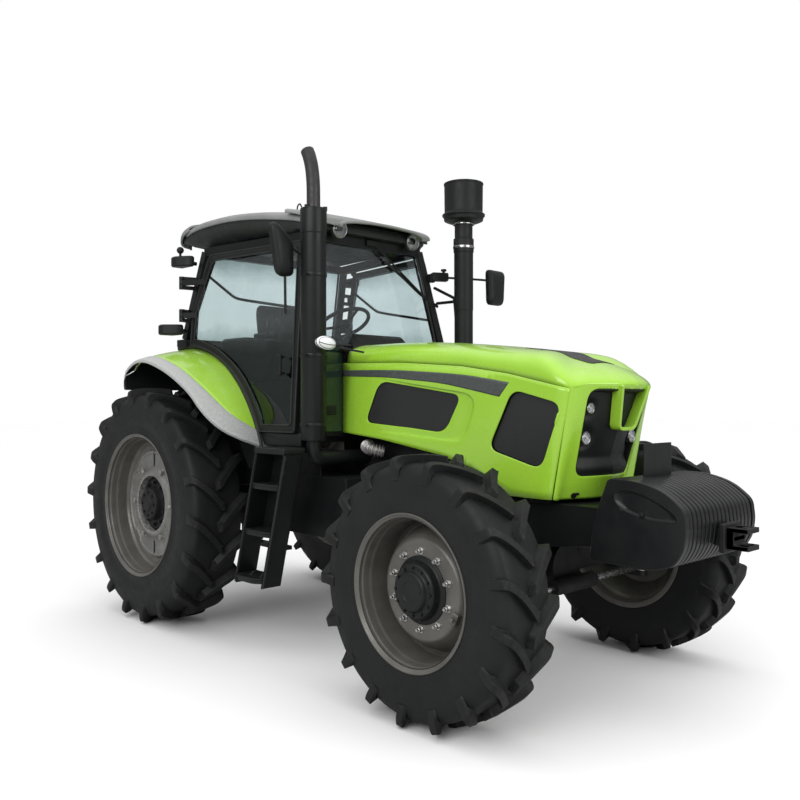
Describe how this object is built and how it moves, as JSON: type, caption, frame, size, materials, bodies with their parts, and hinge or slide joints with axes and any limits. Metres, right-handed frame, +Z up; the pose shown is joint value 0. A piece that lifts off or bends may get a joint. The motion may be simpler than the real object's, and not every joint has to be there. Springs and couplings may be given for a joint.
{
  "type": "farm tractor",
  "caption": "Four-wheel-drive farm tractor with a closed cab, opening doors and hood, front weights and a rear three-point hitch.",
  "frame": {"origin": "on the ground, midway between the tow jaw's front and the lower links' rear ends, on the centre line", "axes": "+X forward, +Y to the tractor's left, +Z up"},
  "size_m": [5.062, 2.28, 3.166],
  "materials": {
    "green_paint": "gloss",
    "black_paint": "satin",
    "grey_casting": "satin",
    "weight_casting": "satin",
    "black_plastic": "matte",
    "grey_plastic": "satin",
    "rim_silver": "satin",
    "rim_taupe": "satin",
    "tyre_rubber": "matte",
    "tinted_glass": "gloss",
    "lamp_glass": "gloss",
    "bright_steel": "satin",
    "seat_cloth": "matte"
  },
  "bodies": {
    "chassis": {"gearbox": "grey_casting", "engine_block": "grey_casting", "front_frame": "black_paint", "front_axle": "grey_casting", "drive_shaft": "black_paint", "side_panels": "green_paint", "side_screens": "black_plastic", "cab_floor": "black_paint", "cab_frame": "black_paint", "roof_cap": "grey_plastic", "roof_fascia": "black_plastic", "windscreen": "tinted_glass", "rear_window": "tinted_glass", "fenders": "green_paint", "fender_bands": "grey_plastic", "steps": "black_paint", "fuel_tank": "black_plastic", "battery_box": "black_plastic", "exhaust_stack": "black_paint", "air_intake": "black_plastic", "mirrors": "black_plastic", "work_lamps": "lamp_glass", "rear_lamps": "black_plastic", "seat": "seat_cloth", "console": "black_plastic", "front_weights": "weight_casting", "weight_carrier": "black_paint", "plate_bracket": "black_plastic", "drawbar": "black_paint", "power_shaft": "bright_steel"},
    "hood": {"hood_lid": "green_paint", "grille": "black_plastic", "headlamps": "lamp_glass"},
    "steering_rod": {"steering_rod": "bright_steel"},
    "rockshaft": {"rockshaft": "black_paint"},
    "lift_rods": {"lift_rods": "black_paint"},
    "lower_links": {"lower_links": "black_paint"},
    "top_link": {"top_link": "black_paint"},
    "knuckle_left": {"knuckle_left": "grey_casting"},
    "front_wheel_left": {"front_rim_left": "rim_taupe", "front_tyre_left": "tyre_rubber"},
    "rear_wheel_left": {"rear_rim_left": "rim_silver", "rear_tyre_left": "tyre_rubber"},
    "door_left": {"door_left": "black_paint", "door_glass_left": "tinted_glass"},
    "knuckle_right": {"knuckle_right": "grey_casting"},
    "front_wheel_right": {"front_rim_right": "rim_taupe", "front_tyre_right": "tyre_rubber"},
    "rear_wheel_right": {"rear_rim_right": "rim_silver", "rear_tyre_right": "tyre_rubber"},
    "door_right": {"door_right": "black_paint", "door_glass_right": "tinted_glass"}
  },
  "joints": [
    {"name": "rear_wheel_left_spin", "type": "hinge", "parent": "chassis", "child": "rear_wheel_left", "pos_m": [-1.469, 0.914, 0.842], "axis": [0, 1, 0], "continuous": true},
    {"name": "steer_left", "type": "hinge", "parent": "chassis", "child": "knuckle_left", "pos_m": [1.341, 0.74, 0.664], "axis": [0, 0, 1], "range_deg": [-40, 40]},
    {"name": "front_wheel_left_spin", "type": "hinge", "parent": "knuckle_left", "child": "front_wheel_left", "pos_m": [1.341, 0.957, 0.664], "axis": [0, 1, 0], "continuous": true},
    {"name": "door_left_swing", "type": "hinge", "parent": "chassis", "child": "door_left", "pos_m": [-1.373, 0.806, 2.3], "axis": [0, 0, 1], "range_deg": [0, 60]},
    {"name": "rear_wheel_right_spin", "type": "hinge", "parent": "chassis", "child": "rear_wheel_right", "pos_m": [-1.469, -0.914, 0.842], "axis": [0, 1, 0], "continuous": true},
    {"name": "steer_right", "type": "hinge", "parent": "chassis", "child": "knuckle_right", "pos_m": [1.341, -0.74, 0.664], "axis": [0, 0, 1], "range_deg": [-40, 40]},
    {"name": "front_wheel_right_spin", "type": "hinge", "parent": "knuckle_right", "child": "front_wheel_right", "pos_m": [1.341, -0.957, 0.664], "axis": [0, 1, 0], "continuous": true},
    {"name": "door_right_swing", "type": "hinge", "parent": "chassis", "child": "door_right", "pos_m": [-1.373, -0.806, 2.3], "axis": [0, 0, -1], "range_deg": [0, 60]},
    {"name": "steering_slide", "type": "slide", "parent": "chassis", "child": "steering_rod", "axis": [0, 1, 0], "range_m": [-0.11, 0.11]},
    {"name": "hood_lift", "type": "hinge", "parent": "chassis", "child": "hood", "pos_m": [0.101, 0, 1.9], "axis": [0, -1, 0], "range_deg": [0, 50]},
    {"name": "hitch_lift", "type": "hinge", "parent": "chassis", "child": "rockshaft", "pos_m": [-1.639, 0, 1.11], "axis": [0, 1, 0], "range_deg": [-25, 30]},
    {"name": "lift_rod_pivot", "type": "hinge", "parent": "rockshaft", "child": "lift_rods", "pos_m": [-1.969, 0, 1.11], "axis": [0, 1, 0], "range_deg": [-30, 25]},
    {"name": "lower_link_pivot", "type": "hinge", "parent": "chassis", "child": "lower_links", "pos_m": [-1.619, 0, 0.52], "axis": [0, 1, 0], "range_deg": [-25, 30]},
    {"name": "top_link_pivot", "type": "hinge", "parent": "chassis", "child": "top_link", "pos_m": [-1.829, 0, 0.96], "axis": [0, 1, 0], "range_deg": [-70, 10]}
  ],
  "couplings": [
    {"joint": "steer_left", "follows": "steer_right", "ratio": 1},
    {"joint": "steering_slide", "follows": "steer_right", "m_per_rad": 0.1565},
    {"joint": "lift_rod_pivot", "follows": "hitch_lift", "ratio": -1},
    {"joint": "lower_link_pivot", "follows": "hitch_lift", "ratio": 1}
  ]
}
